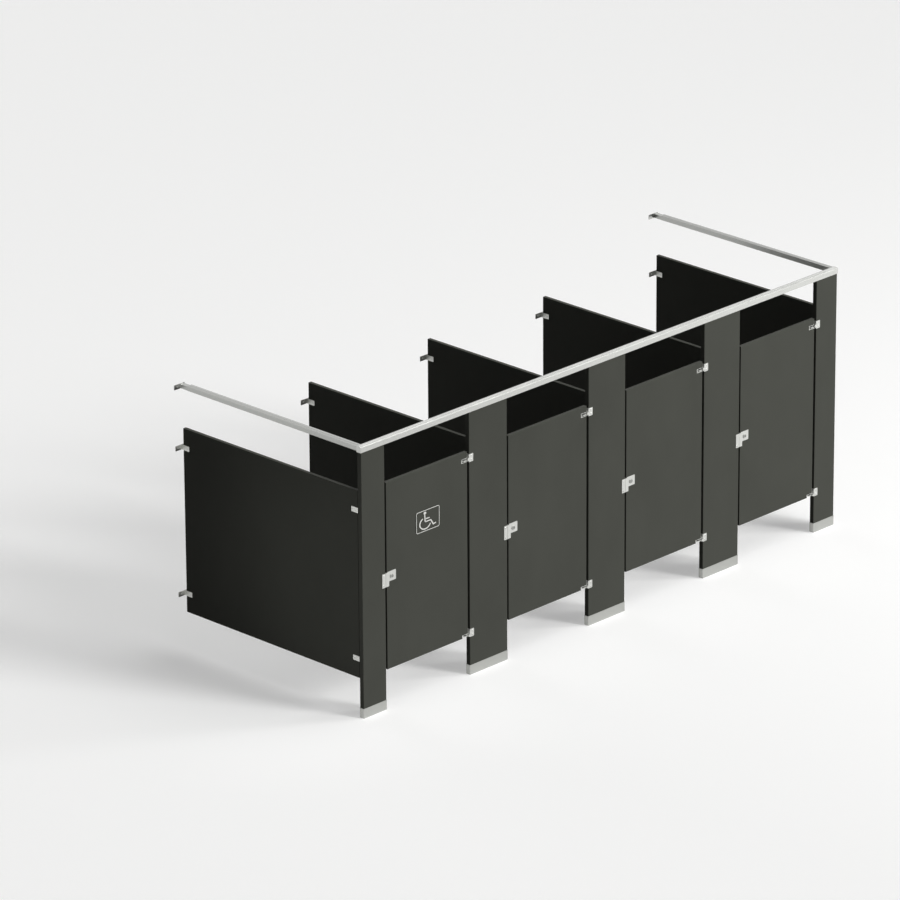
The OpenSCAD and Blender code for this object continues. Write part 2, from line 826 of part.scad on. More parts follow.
// Metal that lines the two hinge notches: a channel at the top and an angle at the bottom
module hinge_liners(i) {
    x = door_x(i) + door_w - notch_w;
    y = door_setback - loose_gap;
    d = door_t + 2 * loose_gap;
    color(metal_color) in_row() difference() {
        union() {
            translate([x, y, top_notch_low - liner_t]) cube([liner_t, d, notch_h]);
            for (z = [top_notch_low - liner_t, top_notch_high])
                translate([x, y, z]) cube([notch_w, d, liner_t]);
            translate([x, y, floor_gap]) cube([liner_t, d, foot_notch_h]);
            translate([x, y, bottom_notch_high]) cube([notch_w, d, liner_t]);
        }
        z_rod(pivot_x(i), door_mid, floor_gap, leaf_top, bush_r);
    }
}

// A nylon bush whose flange bears on the lining of a notch at z. Its barrel runs into the door,
// the way s points, and its flange runs the other way.
module bush(x, z, s, flange_h) {
    barrel_end = z + s * bush_barrel_h;
    flange_end = z - s * flange_h;
    difference() {
        union() {
            z_rod(x, door_mid, min(z, barrel_end), max(z, barrel_end), bush_r);
            z_rod(x, door_mid, min(z, flange_end), max(z, flange_end), bush_flange_r);
        }
        z_rod(
            x, door_mid, min(barrel_end, flange_end) - 1, max(barrel_end, flange_end) + 1,
            hinge_pin_r + running_gap
        );
    }
}

module hinge_bushes(i) {
    color(nylon_color) in_row() {
        bush(pivot_x(i), top_notch_low, -1, bush_flange_h);
        bush(pivot_x(i), top_notch_high, 1, top_notch_high - top_arm_z - arm_t - loose_gap);
        bush(
            pivot_x(i), bottom_notch_high, 1,
            bottom_notch_high - bottom_arm_z - arm_t - loose_gap
        );
    }
}

// Latch case with its front plate, and the two plates on the faces of the door
module latch_case(i) {
    x = door_x(i);
    z = latch_z - case_below;
    h = case_below + case_above;
    g = bolt_hole_gap;
    color(metal_color) in_row() {
        difference() {
            union() {
                translate([x + latch_sheet, case_y, z]) cube([case_w, case_t, h]);
                translate([x, door_mid - case_front_w / 2, z - case_front_over])
                    cube([latch_sheet, case_front_w, h + 2 * case_front_over]);
            }
            translate([x + latch_sheet + case_wall, case_y + case_wall, z + case_wall])
                cube([case_w - 2 * case_wall, case_t - 2 * case_wall, h - 2 * case_wall]);
            translate([x - 1, bolt_y - g, bolt_mid_z - bolt_h / 2 - g])
                cube([latch_sheet + case_wall + 2, bolt_t + 2 * g, bolt_h + 2 * g]);
            y_rod(x + turn_x, latch_z, case_y - 1, case_y + case_t + 1, hub_r + 1);
        }
        for (y = [latch_plate_front, door_back])
            difference() {
                face_plate(
                    x + latch_plate_x, latch_plate_z, latch_plate_w, latch_plate_h,
                    y, y + latch_sheet, plate_corner_r
                );
                y_rod(x + turn_x, latch_z, y - 1, y + latch_sheet + 1, hub_r + running_gap);
            }
    }
}

// A shallow cup turned about Y, from the round front of its rim at y0 to its back at y1
module turned_cup(x, z, y0, y1, r) {
    edge_r = turn_rim / 2;
    translate([x, y1, z]) rotate([90, 0, 0]) rotate_extrude($fn = 48) {
        square([r, turn_floor]);
        translate([r - turn_rim, 0]) square([turn_rim, y1 - y0 - edge_r]);
        translate([r - edge_r, y1 - y0 - edge_r]) circle(edge_r, $fn = 32);
    }
}

// The turn: a cupped coin turn outside, the spindle with its crank, and a thumb turn inside
module latch_turn(i) {
    x = door_x(i) + turn_x;
    front = latch_plate_front - loose_gap;
    slot_h = 2 * (hub_r - 1);
    pin_x = crank_pin_x(i);
    pin_z = latch_z + crank_r * cos(crank_angle);
    color(metal_color) in_row() {
        difference() {
            union() {
                turned_cup(x, latch_z, turn_front, front, turn_r);
                y_rod(x, latch_z, front - turn_floor / 2, crank_y + crank_t / 2, hub_r);
            }
            translate([x - coin_slot_w / 2, turn_front, latch_z - slot_h / 2])
                cube([coin_slot_w, front - turn_floor + coin_slot_depth - turn_front, slot_h]);
        }
        y_rod(x, latch_z, crank_y, case_y + case_t + 1, spindle_r);
        y_rod(x, latch_z, case_y + case_t, turn_back + 1, hub_r);
        translate([x, crank_y + crank_t, latch_z])
            rotate([90, crank_angle, 0])
                linear_extrude(crank_t) {
                    translate([-crank_eye_r, 0]) square([2 * crank_eye_r, crank_r]);
                    translate([0, crank_r]) circle(crank_eye_r, $fn = 32);
                    circle(crank_eye_r, $fn = 32);
                }
        y_rod(pin_x, pin_z, crank_y + 1, bolt_y + bolt_t - 1, crank_pin_r);
        face_plate(
            x - thumb_w / 2, latch_z - thumb_l / 2, thumb_w, thumb_l,
            turn_back, turn_back + thumb_t, thumb_w / 2 - 0.5
        );
    }
}

module latch_bolt(i) {
    x0 = door_x(i) + bolt_set;
    x1 = crank_pin_x(i) + bolt_tail;
    half = crank_pin_r + pin_slot_gap;
    slot_z = latch_z + crank_r * cos(crank_angle) - crank_pin_r - pin_slot_gap;
    slot_h = crank_r * (1 - cos(crank_angle)) + 2 * (crank_pin_r + pin_slot_gap);
    color(steel_color) in_row() difference() {
        translate([x0, bolt_y, bolt_mid_z - bolt_h / 2]) cube([x1 - x0, bolt_t, bolt_h]);
        translate([crank_pin_x(i) - half, bolt_y - 1, slot_z])
            cube([2 * half, bolt_t + 2, slot_h]);
    }
}

pilaster(0);  // pilaster_1
pilaster(1);  // pilaster_2
pilaster(2);  // pilaster_3
pilaster(3);  // pilaster_4
pilaster(4);  // pilaster_5
shoe(0);  // shoe_1
shoe(1);  // shoe_2
shoe(2);  // shoe_3
shoe(3);  // shoe_4
shoe(4);  // shoe_5
panel(0);  // panel_1
panel(1);  // panel_2
panel(2);  // panel_3
panel(3);  // panel_4
panel(4);  // panel_5
headrail_front();
headrail_left();
headrail_right();
headrail_end_caps();
headrail_corner_sockets();
headrail_wall_brackets();
panel_wall_brackets();
panel_pilaster_brackets();
panel_bolts();
top_hinge_brackets();
bottom_hinge_brackets();
hinge_pins();
hinge_bolts();
keepers();
keeper_bumpers();
keeper_bolts();
levelling_feet();
levelling_nuts();
levelling_bars();
trim_screws();
door(0);  // door_1
door(1);  // door_2
door(2);  // door_3
door(3);  // door_4
hinge_liners(0);  // hinge_liners_1
hinge_liners(1);  // hinge_liners_2
hinge_liners(2);  // hinge_liners_3
hinge_liners(3);  // hinge_liners_4
hinge_bushes(0);  // hinge_bushes_1
hinge_bushes(1);  // hinge_bushes_2
hinge_bushes(2);  // hinge_bushes_3
hinge_bushes(3);  // hinge_bushes_4
latch_case(0);  // latch_case_1
latch_case(1);  // latch_case_2
latch_case(2);  // latch_case_3
latch_case(3);  // latch_case_4
latch_turn(0);  // latch_turn_1
latch_turn(1);  // latch_turn_2
latch_turn(2);  // latch_turn_3
latch_turn(3);  // latch_turn_4
latch_bolt(0);  // latch_bolt_1
latch_bolt(1);  // latch_bolt_2
latch_bolt(2);  // latch_bolt_3
latch_bolt(3);  // latch_bolt_4
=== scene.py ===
"""Looks for a row of four toilet stalls: dark solid plastic boards, satin metal rails and fittings."""

import math

import bmesh
import bpy
from mathutils import Matrix, Vector

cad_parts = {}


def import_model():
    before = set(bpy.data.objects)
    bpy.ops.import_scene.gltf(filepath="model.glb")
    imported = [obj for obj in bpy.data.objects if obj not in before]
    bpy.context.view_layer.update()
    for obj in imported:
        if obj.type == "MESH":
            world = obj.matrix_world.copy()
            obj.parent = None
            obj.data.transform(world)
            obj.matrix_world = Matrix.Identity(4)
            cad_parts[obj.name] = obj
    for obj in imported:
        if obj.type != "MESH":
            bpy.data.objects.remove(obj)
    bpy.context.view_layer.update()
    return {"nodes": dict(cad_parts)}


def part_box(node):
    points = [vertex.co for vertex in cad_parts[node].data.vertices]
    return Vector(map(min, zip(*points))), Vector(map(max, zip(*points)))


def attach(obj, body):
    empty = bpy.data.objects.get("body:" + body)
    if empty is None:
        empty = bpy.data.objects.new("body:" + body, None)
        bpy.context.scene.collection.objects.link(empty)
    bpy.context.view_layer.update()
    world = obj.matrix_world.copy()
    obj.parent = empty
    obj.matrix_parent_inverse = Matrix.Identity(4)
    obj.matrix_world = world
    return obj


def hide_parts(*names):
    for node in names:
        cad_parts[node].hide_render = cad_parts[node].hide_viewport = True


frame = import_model()

MM = 0.001
UP = Vector((0, 0, 1))

# Camera, at the viewing angle of the photograph
CAMERA_PLACE = (-35.1168, -33.5688, 20.2115)
CAMERA_AZIMUTH = 45.697
CAMERA_ELEVATION = 21.458
CAMERA_ROLL = 0.353
CAMERA_LENS = 274.99
CAMERA_NEAR = 1
CAMERA_FAR = 1000
SENSOR = 36

# Far lamps. Azimuth 0 is in front of the doors, and grows towards the last stall.
KEY_AZIMUTH = 23
KEY_ELEVATION = 24
KEY_SPREAD = 16
KEY_STRENGTH = 2.25
TOP_AZIMUTH = 40
TOP_ELEVATION = 68
TOP_SPREAD = 50
TOP_STRENGTH = 1.2
BACK_AZIMUTH = 174
BACK_ELEVATION = 8
BACK_SPREAD = 30
BACK_STRENGTH = 0.8

# Near lamps. Part of the side light is kept out of highlights, which would clip on the headrail.
SIDE_PLACE = (8.5, -8, 5)
SIDE_AIM = (0, 0, 1)
SIDE_SIZE = 3
SIDE_POWER = 320
GLINT_POWER = 190
END_PLACE = (-5.6, -0.93, 1.05)
END_AIM = (-2.6, -0.93, 1.05)
END_SIZE = 0.4
END_SPREAD = 66
END_POWER = 80

# Sky and floor
SKY_LIGHT = 0.04
FLOOR_TONE = (0.66, 0.66, 0.654)
FLOOR_GLOW = 0.355
FLOOR_BOUNCE = (0.13, 0.13, 0.128)
FLOOR_SIZE = 400
FLOOR_DROP = 0.5 * MM

# Colours
BOARD_COLOUR = (0.063, 0.065, 0.056)
FRONT_RAIL_COLOUR = (0.54, 0.545, 0.525)
# The side rails and their wall brackets are the front rail's metal painted darker, as painted shade.
SIDE_RAIL_SHADE_COLOUR = (0.44, 0.445, 0.43)
FITTING_COLOUR = (0.58, 0.585, 0.56)
# The turns are the latch plates' metal painted darker, as painted shade in their recess.
TURN_SHADE_COLOUR = (0.36, 0.365, 0.35)
SHOE_COLOUR = (0.44, 0.445, 0.425)
STEEL_COLOUR = (0.4, 0.41, 0.41)
FASTENER_COLOUR = (0.52, 0.52, 0.5)
NYLON_COLOUR = (0.03, 0.03, 0.03)
RUBBER_COLOUR = (0.02, 0.02, 0.02)
SIGN_COLOUR = (0.72, 0.72, 0.69)

# Roughness of the finishes
FRONT_RAIL_ROUGH = 0.28
SIDE_RAIL_ROUGH = 0.3
FITTING_ROUGH = 0.42
TURN_ROUGH = 0.36
STEEL_ROUGH = 0.4
NYLON_ROUGH = 0.45
RUBBER_ROUGH = 0.7
SIGN_ROUGH = 0.45
BOARD_ROUGH = (0.5, 0.58)
BOARD_SPECULAR = 0.05

# Grain of the finishes. A scale is about the waves in a metre, and a depth is a bump's height.
# Tones multiply the colour, and the two numbers of each ROUGH here are added to the roughness.
EVEN = (1, 1, 1)
NOISE_ROUGHNESS = 0.55
NOISE_FROM = 0.3
NOISE_TO = 0.7
CLOUD_SCALE = 2.2
CLOUD_STRETCH = (1, 1, 0.6)
CLOUD_SHARE = 0.65
SPECKLE_SCALE = 900
SPECKLE_SHARE = 0.35
BOARD_TONES = (0.9, 1.08)
PEEL_SCALE = 420
PEEL_STRENGTH = 0.25
PEEL_DEPTH = 0.4 * MM
BRUSH_SCALE = 6
BRUSH_ACROSS = 260
BRUSH_ALONG = 3
BRUSH_STRENGTH = 0.3
BRUSH_DEPTH = 0.05 * MM
BRUSH_TONES = (0.94, 1.04)
BRUSH_ROUGH = (-0.04, 0.05)
HANDLING_SCALE = 3
HANDLING_ROUGH = (-0.03, 0.03)
MOTTLE_SCALE = 60
MOTTLE_TONES = (0.85, 1.1)
MOTTLE_ROUGH = (-0.06, 0.08)
MOULD_SCALE = 700
MOULD_STRENGTH = 0.2
MOULD_DEPTH = 0.1 * MM
MOULD_TONES = (0.9, 1.1)
MOULD_ROUGH = (-0.05, 0.05)
ENAMEL_SCALE = 90
ENAMEL_TONES = (0.95, 1)

# Blender's colour mix node has its colours at these inputs and this output
MIX_FIRST = 6
MIX_SECOND = 7
MIX_RESULT = 2

# Axes of the shared frame, and the nodes that are brushed along Y and painted darker than the front
# rail, as painted shade
X, Y, Z = range(3)
SHADED_SIDE_RAIL_NODES = ("headrail_left", "headrail_right", "headrail_wall_brackets")

# Fasteners: a low dome with a six-lobed recess and a pin in its middle. Radii are shares of the
# head's radius, and heights and depths are shares of its height.
HEAD_H = 2 * MM
HEAD_STEPS = 36
BARREL_R = 0.5
DOME_RINGS = 4
DOME_EDGE = 0.3
LOBES = 6
LOBE_DEPTH = 0.1
RECESS_R = 0.42
RECESS_DEPTH = 0.62
RECESS_MOUTH = 0.98
RECESS_FOOT = 0.96
PIN_R = 0.13
PIN_H = 0.9
WELD = 0.01 * MM

# The sign on the first door. Its middle is measured from the door's lower left corner, and the
# figure on it from its own middle, before it is stretched sideways.
SIGN_W = 246 * MM
SIGN_H = 170 * MM
SIGN_X = 428.5 * MM
SIGN_Z = 1059 * MM
SIGN_CORNER = 18 * MM
SIGN_INSET = 2 * MM
SIGN_LINE = 4.5 * MM
SIGN_T = 3 * MM
SIGN_RELIEF = 0.8 * MM
FIGURE_STRETCH = 1.28
FIGURE_LINE = 8.5 * MM
HEAD_MIDDLE = (-24 * MM, 59 * MM)
HEAD_R = 11 * MM
WHEEL_MIDDLE = (-22 * MM, -20 * MM)
WHEEL_R = 44 * MM
WHEEL_FROM = 116
WHEEL_TO = 343
BACK = [(-26 * MM, 50 * MM), (-22.5 * MM, -9 * MM)]
ARM = [(-24 * MM, 14 * MM), (13 * MM, 12.5 * MM)]
LEG = [(-22.5 * MM, -9 * MM), (23.5 * MM, -9 * MM), (44.5 * MM, -50 * MM), (66 * MM, -44 * MM)]
CORNER_STEPS = 8
DISC_STEPS = 32
WHEEL_STEPS = 48
SHARPEST_MITRE = 0.5


def new_material(name):
    """An empty material, its node tree and its shader."""
    material = bpy.data.materials.new(name)
    material.use_nodes = True
    tree = material.node_tree
    return material, tree, tree.nodes["Principled BSDF"]


def add(tree, kind, **settings):
    """A node of that kind. Settings are node properties, or the names of its inputs."""
    made = tree.nodes.new("ShaderNode" + kind)
    for key, value in settings.items():
        if hasattr(made, key):
            setattr(made, key, value)
        else:
            made.inputs[key.replace("_", " ").title()].default_value = value
    return made


def stretched_noise(tree, scale, stretch, detail):
    """Noise in the shared frame, squeezed along each axis by stretch."""
    place = add(tree, "TexCoord")
    mapping = add(tree, "Mapping")
    mapping.inputs["Scale"].default_value = stretch
    noise = add(tree, "TexNoise", scale=scale, detail=detail, roughness=NOISE_ROUGHNESS)
    tree.links.new(place.outputs["Object"], mapping.inputs["Vector"])
    tree.links.new(mapping.outputs["Vector"], noise.inputs["Vector"])
    return noise.outputs["Fac"]


def ramp(tree, value, low, high, start=NOISE_FROM, end=NOISE_TO):
    """Maps the part of value between start and end onto low to high."""
    made = add(tree, "MapRange")
    for key, number in (("From Min", start), ("From Max", end), ("To Min", low), ("To Max", high)):
        made.inputs[key].default_value = number
    tree.links.new(value, made.inputs["Value"])
    return made.outputs["Result"]


def tint(tree, value, dark, light):
    """A colour between dark and light."""
    made = add(tree, "Mix", data_type="RGBA")
    made.inputs[MIX_FIRST].default_value = (*dark, 1)
    made.inputs[MIX_SECOND].default_value = (*light, 1)
    tree.links.new(value, made.inputs["Factor"])
    return made.outputs[MIX_RESULT]


def bump(tree, shader, height, strength, depth):
    """Adds a height to the shader's surface."""
    made = add(tree, "Bump")
    made.inputs["Strength"].default_value = strength
    made.inputs["Distance"].default_value = depth
    tree.links.new(height, made.inputs["Height"])
    tree.links.new(made.outputs["Normal"], shader.inputs["Normal"])


def tones(tree, value, colour, factors):
    """The colour, multiplied by the first to the second factor."""
    dark, light = (tuple(part * factor for part in colour) for factor in factors)
    return tint(tree, value, dark, light)


def around(tree, value, middle, offsets):
    """A number near middle, from the first to the second offset."""
    return ramp(tree, value, middle + offsets[0], middle + offsets[1])


def board_plastic(name, colour):
    """Solid plastic board: matt, with an orange-peel grain and faint cloudy tone."""
    material, tree, shader = new_material(name)
    cloud = stretched_noise(tree, CLOUD_SCALE, CLOUD_STRETCH, detail=3)
    speckle = stretched_noise(tree, SPECKLE_SCALE, EVEN, detail=2)
    both = add(tree, "Math", operation="MULTIPLY_ADD")
    both.inputs[1].default_value = SPECKLE_SHARE
    tree.links.new(speckle, both.inputs[0])
    tree.links.new(ramp(tree, cloud, 0, CLOUD_SHARE), both.inputs[2])
    tone = tones(tree, both.outputs[0], colour, BOARD_TONES)
    tree.links.new(tone, shader.inputs["Base Color"])
    peel = stretched_noise(tree, PEEL_SCALE, EVEN, detail=3)
    tree.links.new(ramp(tree, peel, *BOARD_ROUGH), shader.inputs["Roughness"])
    bump(tree, shader, peel, PEEL_STRENGTH, PEEL_DEPTH)
    shader.inputs["Specular IOR Level"].default_value = BOARD_SPECULAR
    return material


def brushed_metal(name, colour, along, roughness):
    """Metal with fine brush lines along one axis, and a little cloudy all over from handling."""
    material, tree, shader = new_material(name)
    stretch = [BRUSH_ACROSS] * 3
    stretch[along] = BRUSH_ALONG
    lines = stretched_noise(tree, BRUSH_SCALE, stretch, detail=5)
    cloud = stretched_noise(tree, HANDLING_SCALE, EVEN, detail=2)
    tone = tones(tree, ramp(tree, lines, 0, 1), colour, BRUSH_TONES)
    tree.links.new(tone, shader.inputs["Base Color"])
    rough = add(tree, "Math", operation="ADD")
    tree.links.new(around(tree, lines, roughness, BRUSH_ROUGH), rough.inputs[0])
    tree.links.new(ramp(tree, cloud, *HANDLING_ROUGH), rough.inputs[1])
    tree.links.new(rough.outputs[0], shader.inputs["Roughness"])
    bump(tree, shader, lines, BRUSH_STRENGTH, BRUSH_DEPTH)
    shader.inputs["Metallic"].default_value = 1
    return material


def plain_steel(name, colour, roughness):
    """Plated steel, with a faint crystalline mottling."""
    material, tree, shader = new_material(name)
    mottle = stretched_noise(tree, MOTTLE_SCALE, EVEN, detail=6)
    tone = tones(tree, ramp(tree, mottle, 0, 1), colour, MOTTLE_TONES)
    tree.links.new(tone, shader.inputs["Base Color"])
    tree.links.new(around(tree, mottle, roughness, MOTTLE_ROUGH), shader.inputs["Roughness"])
    shader.inputs["Metallic"].default_value = 1
    return material


def moulded(name, colour, roughness):
    """Nylon or rubber, with a fine moulded grain."""
    material, tree, shader = new_material(name)
    grain = stretched_noise(tree, MOULD_SCALE, EVEN, detail=3)
    tree.links.new(tones(tree, grain, colour, MOULD_TONES), shader.inputs["Base Color"])
    tree.links.new(around(tree, grain, roughness, MOULD_ROUGH), shader.inputs["Roughness"])
    bump(tree, shader, grain, MOULD_STRENGTH, MOULD_DEPTH)
    return material


def enamel(name, colour, roughness):
    """Enamel of the sign, a little worn."""
    material, tree, shader = new_material(name)
    wear = stretched_noise(tree, ENAMEL_SCALE, EVEN, detail=4)
    tone = tones(tree, ramp(tree, wear, 0, 1), colour, ENAMEL_TONES)
    tree.links.new(tone, shader.inputs["Base Color"])
    shader.inputs["Roughness"].default_value = roughness
    return material


def finishes():
    """The material of each of the record's slots."""
    return {
        "board": board_plastic("board_plastic", BOARD_COLOUR),
        "rail_metal": brushed_metal("rail_metal_x", FRONT_RAIL_COLOUR, X, FRONT_RAIL_ROUGH),
        "bracket_metal": brushed_metal("bracket_metal", FITTING_COLOUR, Z, FITTING_ROUGH),
        "shoe_metal": brushed_metal("shoe_metal", SHOE_COLOUR, X, FITTING_ROUGH),
        "latch_metal": brushed_metal("latch_metal", FITTING_COLOUR, Z, FITTING_ROUGH),
        "steel": plain_steel("plated_steel", STEEL_COLOUR, STEEL_ROUGH),
        "fastener": plain_steel("fastener_steel", FASTENER_COLOUR, FITTING_ROUGH),
        "nylon": moulded("nylon", NYLON_COLOUR, NYLON_ROUGH),
        "rubber": moulded("rubber", RUBBER_COLOUR, RUBBER_ROUGH),
    }


def dress(obj, material):
    obj.data.materials.clear()
    obj.data.materials.append(material)


def dress_cad(materials):
    """Gives each CAD node the finish of its own slot, and side rails and turns their own: darker
    copies of the metal, as painted shade.
    """
    # Side rails and wall brackets: the rail metal brushed along Y and painted darker, as painted
    # shade.
    side_rail_shaded = brushed_metal("rail_metal_y_shaded", SIDE_RAIL_SHADE_COLOUR, Y, SIDE_RAIL_ROUGH)
    # Turns: the latch metal painted darker, as painted shade in their recess.
    turn = brushed_metal("turn_metal_shaded", TURN_SHADE_COLOUR, X, TURN_ROUGH)
    for name, obj in frame["nodes"].items():
        slot = obj.material_slots[0].name.split(".")[0]
        material = materials[slot]
        if name in SHADED_SIDE_RAIL_NODES:
            material = side_rail_shaded
        elif name.startswith("latch_turn"):
            material = turn
        dress(obj, material)


def solids(node):
    """Lowest and highest corner of each separate solid of a CAD node."""
    mesh = bmesh.new()
    mesh.from_mesh(frame["nodes"][node].data)
    bmesh.ops.remove_doubles(mesh, verts=mesh.verts, dist=WELD)
    left = set(mesh.verts)
    found = []
    while left:
        start = left.pop()
        group, edge = [start], [start]
        while edge:
            near = [e.other_vert(v) for v in edge for e in v.link_edges]
            edge = [v for v in set(near) if v in left]
            left.difference_update(edge)
            group.extend(edge)
        low = Vector(min(v.co[k] for v in group) for k in range(3))
        high = Vector(max(v.co[k] for v in group) for k in range(3))
        found.append((low, high))
    mesh.free()
    return sorted(found, key=lambda corners: tuple(corners[0]))


def ring(mesh, radius, height, lobed=0.0):
    """A closed row of points round the Z axis, drawn in between the lobes."""
    points = []
    for k in range(HEAD_STEPS):
        angle = 2 * math.pi * k / HEAD_STEPS
        reach = radius * (1 - lobed * (1 - math.cos(LOBES * angle)))
        points.append(mesh.verts.new((reach * math.cos(angle), reach * math.sin(angle), height)))
    return points


def join_rows(mesh, lower, upper):
    """Faces between two closed rows of as many points."""
    count = len(lower)
    for k in range(count):
        n = (k + 1) % count
        mesh.faces.new((lower[k], lower[n], upper[n], upper[k]))


def head_rings(mesh, radius, height):
    """The rings of a domed head from its rim to the pin in its recess."""
    rim = height * DOME_EDGE
    rings = [ring(mesh, radius, 0), ring(mesh, radius, rim)]
    for k in range(1, DOME_RINGS + 1):
        share = k / DOME_RINGS * (1 - RECESS_R)
        rise = math.sin(math.pi / 2 * k / DOME_RINGS)
        rings.append(ring(mesh, radius * (1 - share), rim + (height - rim) * rise))
    floor = height * (1 - RECESS_DEPTH)
    rings.append(ring(mesh, radius * RECESS_R * RECESS_MOUTH, height, LOBE_DEPTH))
    rings.append(ring(mesh, radius * RECESS_R * RECESS_FOOT, floor, LOBE_DEPTH))
    rings.append(ring(mesh, radius * PIN_R, floor))
    rings.append(ring(mesh, radius * PIN_R, height * PIN_H))
    return rings


def bolt_mesh(head_r, length, both_ends):
    """A bolt along Z from 0 to length between heads, or with one head and a blunt point."""
    mesh = bmesh.new()
    rings = head_rings(mesh, head_r, HEAD_H)
    for point in (p for row in rings for p in row):
        point.co.z += length
    for lower, upper in zip(rings, rings[1:]):
        join_rows(mesh, lower, upper)
    mesh.faces.new(rings[-1])
    neck = ring(mesh, head_r * BARREL_R, length)
    join_rows(mesh, neck, rings[0])
    foot = ring(mesh, head_r * BARREL_R, 0)
    join_rows(mesh, foot, neck)
    if both_ends:
        back = head_rings(mesh, head_r, HEAD_H)
        for point in (p for row in back for p in row):
            point.co.z *= -1
        for lower, upper in zip(back, back[1:]):
            join_rows(mesh, upper, lower)
        mesh.faces.new(reversed(back[-1]))
        join_rows(mesh, back[0], foot)
    else:
        mesh.faces.new(reversed(foot))
    return mesh


def piece(name, mesh, material, body="frame"):
    """A new object from a bmesh, riding on a body."""
    data = bpy.data.meshes.new(name)
    bmesh.ops.recalc_face_normals(mesh, faces=mesh.faces)
    mesh.to_mesh(data)
    mesh.free()
    obj = bpy.data.objects.new(name, data)
    bpy.context.scene.collection.objects.link(obj)
    data.materials.append(material)
    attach(obj, body)
    return obj


def bolts(node, axis, both_ends, material):
    """Detailed bolts in the places of a CAD node's plain ones."""
    joined = bmesh.new()
    turn = UP.rotation_difference(Vector([k == axis for k in range(3)])).to_matrix().to_4x4()
    for low, high in solids(node):
        across = (axis + 1) % 3
        head_r = (high - low)[across] / 2
        ends = 2 if both_ends else 1
        one = bolt_mesh(head_r, (high - low)[axis] - ends * HEAD_H, both_ends)
        start = (low + high) / 2
        start[axis] = low[axis] + (HEAD_H if both_ends else 0)
        one.transform(Matrix.Translation(start) @ turn)
        data = bpy.data.meshes.new("one")
        one.to_mesh(data)
        one.free()
        joined.from_mesh(data)
        bpy.data.meshes.remove(data)
    made = piece(node + "_detailed", joined, material)
    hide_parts(node)


def arc(centre, radius, start, end, steps):
    """Points on an arc, with angles in degrees."""
    cx, cz = centre
    angles = [math.radians(start + (end - start) * k / steps) for k in range(steps + 1)]
    return [(cx + radius * math.cos(a), cz + radius * math.sin(a)) for a in angles]


def sign_outline(w, h, r):
    """A closed outline with round corners, round the middle of the sign."""
    across, up = w / 2 - r, h / 2 - r
    corners = [((across, -up), -90), ((across, up), 0), ((-across, up), 90), ((-across, -up), 180)]
    return [p for centre, start in corners for p in arc(centre, r, start, start + 90, CORNER_STEPS)]


def stroke(mesh, points, width, front, back, closed=False):
    """A raised line of constant width through points in the door's face, with a flat front."""
    flat = [Vector((x, z)) for x, z in points]
    count = len(flat)
    rows = []
    for k, point in enumerate(flat):
        before = flat[k - 1] if k or closed else None
        after = flat[(k + 1) % count] if k < count - 1 or closed else None
        ways = [(b - a).normalized() for a, b in ((before, point), (point, after)) if a and b]
        way = sum(ways, Vector((0, 0))).normalized()
        normal = Vector((-way.y, way.x))
        lean = normal.dot(Vector((-ways[0].y, ways[0].x)))
        reach = normal * (width / 2 / max(SHARPEST_MITRE, lean))
        left, right = point + reach, point - reach
        corners = ((left, back), (left, front), (right, front), (right, back))
        rows.append([mesh.verts.new((side.x, y, side.y)) for side, y in corners])
    pairs = list(zip(rows, rows[1:])) + ([(rows[-1], rows[0])] if closed else [])
    for one, two in pairs:
        join_rows(mesh, one, two)
    if not closed:
        mesh.faces.new(rows[0])
        mesh.faces.new(reversed(rows[-1]))


def disc(mesh, centre, radius, front, back):
    """A raised round spot."""
    outline = arc(centre, radius, 0, 360, DISC_STEPS)[:-1]
    face = [mesh.verts.new((x, front, z)) for x, z in outline]
    foot = [mesh.verts.new((x, back, z)) for x, z in outline]
    join_rows(mesh, face, foot)
    mesh.faces.new(face)
    mesh.faces.new(reversed(foot))


def set_on_door(mesh, name, material):
    """Moves a mesh from the middle of the sign to its place on the first door."""
    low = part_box("door_1")[0]
    for vert in mesh.verts:
        vert.co += Vector((low.x + SIGN_X, low.y, low.z + SIGN_Z))
    return piece(name, mesh, material, body="door_1")


def sign_plate(material):
    """The plate of the sign, with a small bevel round its face."""
    mesh = bmesh.new()
    bevel = SIGN_RELIEF
    rows = []
    for inset, y in ((0, 0), (0, bevel - SIGN_T), (bevel, -SIGN_T)):
        outline = sign_outline(SIGN_W - 2 * inset, SIGN_H - 2 * inset, SIGN_CORNER - inset)
        rows.append([mesh.verts.new((x, y, z)) for x, z in outline])
    for one, two in zip(rows, rows[1:]):
        join_rows(mesh, one, two)
    mesh.faces.new(rows[-1])
    mesh.faces.new(reversed(rows[0]))
    set_on_door(mesh, "door_sign_plate", material)


def sign_figure(material):
    """The raised border of the sign and its plain figure in a wheelchair."""
    mesh = bmesh.new()
    back = -SIGN_T
    front = back - SIGN_RELIEF
    wheel = arc(WHEEL_MIDDLE, WHEEL_R, WHEEL_FROM, WHEEL_TO, WHEEL_STEPS)
    for points in (wheel, BACK, ARM, LEG):
        stroke(mesh, points, FIGURE_LINE, front, back)
    disc(mesh, HEAD_MIDDLE, HEAD_R, front, back)
    for vert in mesh.verts:
        vert.co.x *= FIGURE_STRETCH
    inset = 2 * SIGN_INSET + SIGN_LINE
    border = sign_outline(SIGN_W - inset, SIGN_H - inset, SIGN_CORNER - inset / 2)
    stroke(mesh, border, SIGN_LINE, front, back, closed=True)
    set_on_door(mesh, "door_sign_figure", material)


def seen_directly(tree):
    """1 for camera, glossy and transmission rays, and 0 for the rest."""
    path = add(tree, "LightPath")
    total = path.outputs["Is Camera Ray"]
    for kind in ("Is Glossy Ray", "Is Transmission Ray"):
        more = add(tree, "Math", operation="MAXIMUM")
        tree.links.new(total, more.inputs[0])
        tree.links.new(path.outputs[kind], more.inputs[1])
        total = more.outputs[0]
    return total


